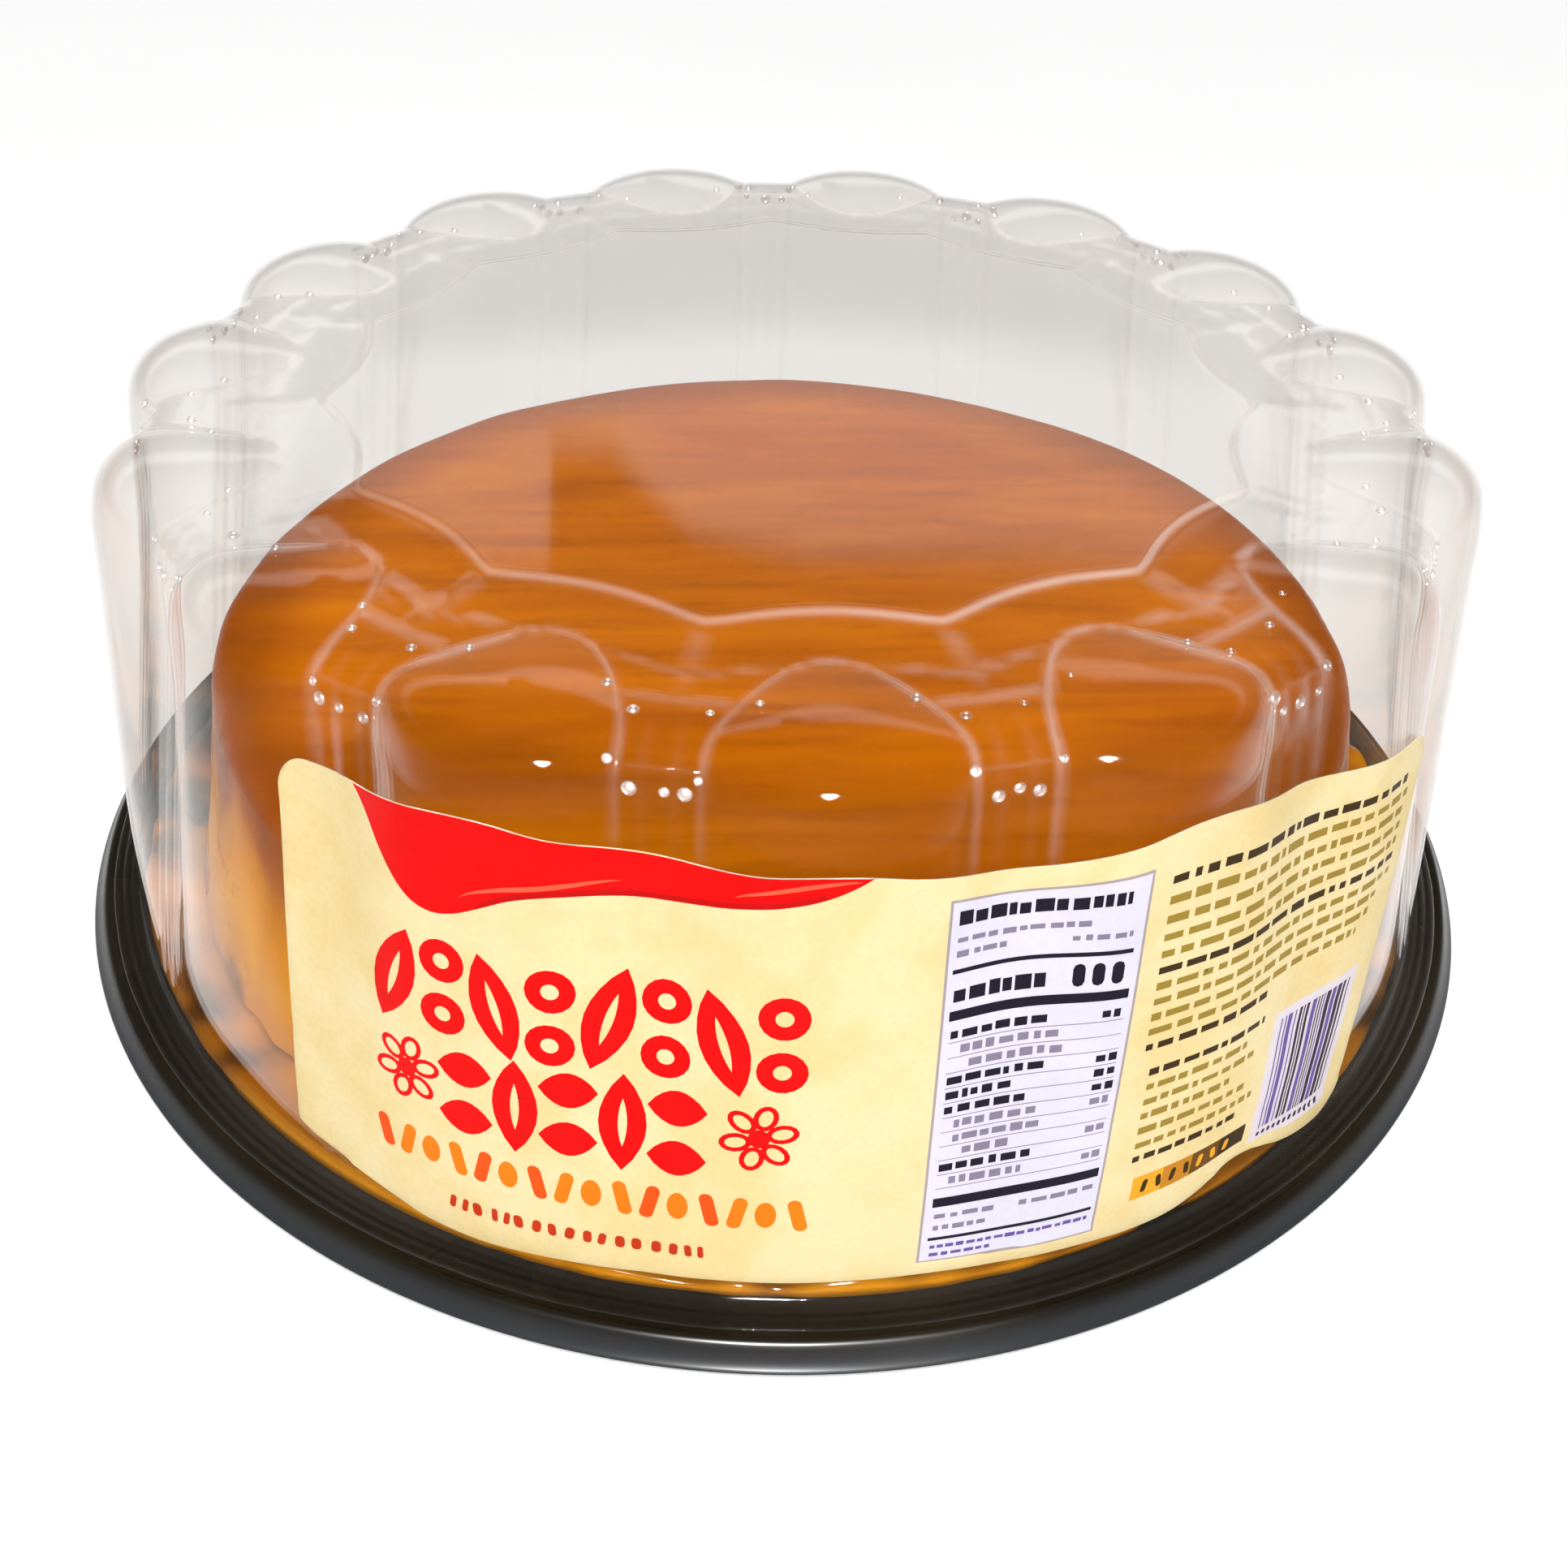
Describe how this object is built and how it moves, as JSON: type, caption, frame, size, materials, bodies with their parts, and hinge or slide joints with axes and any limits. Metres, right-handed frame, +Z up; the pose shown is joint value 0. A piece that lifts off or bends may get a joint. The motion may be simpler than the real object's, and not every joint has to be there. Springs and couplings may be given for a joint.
{
  "type": "caramel flan in a clear dome pack",
  "caption": "Round caramel-topped baked custard on a shallow black plastic base, under a clear fluted dome lid with a cream wraparound paper label.",
  "frame": {"origin": "centre of the underside of the base, on the surface that the pack stands on", "axes": "+Z up through the dome; -Y is the front, where a lobe of the dome and the label face; +X to the right seen from the front"},
  "size_m": [0.2676, 0.268, 0.0956],
  "materials": {
    "base_tray": "black pressed plastic sheet with a soft gloss",
    "flan": "moist caramel-soaked custard: orange-brown top, golden lower side",
    "dome_lid": "thin clear pressed plastic, glossy",
    "label": "semi-gloss cream paper with a red wave and small printed blocks"
  },
  "bodies": {
    "root": {"base_tray": "base_tray", "flan": "flan", "dome_lid": "dome_lid", "label": "label"}
  },
  "joints": []
}
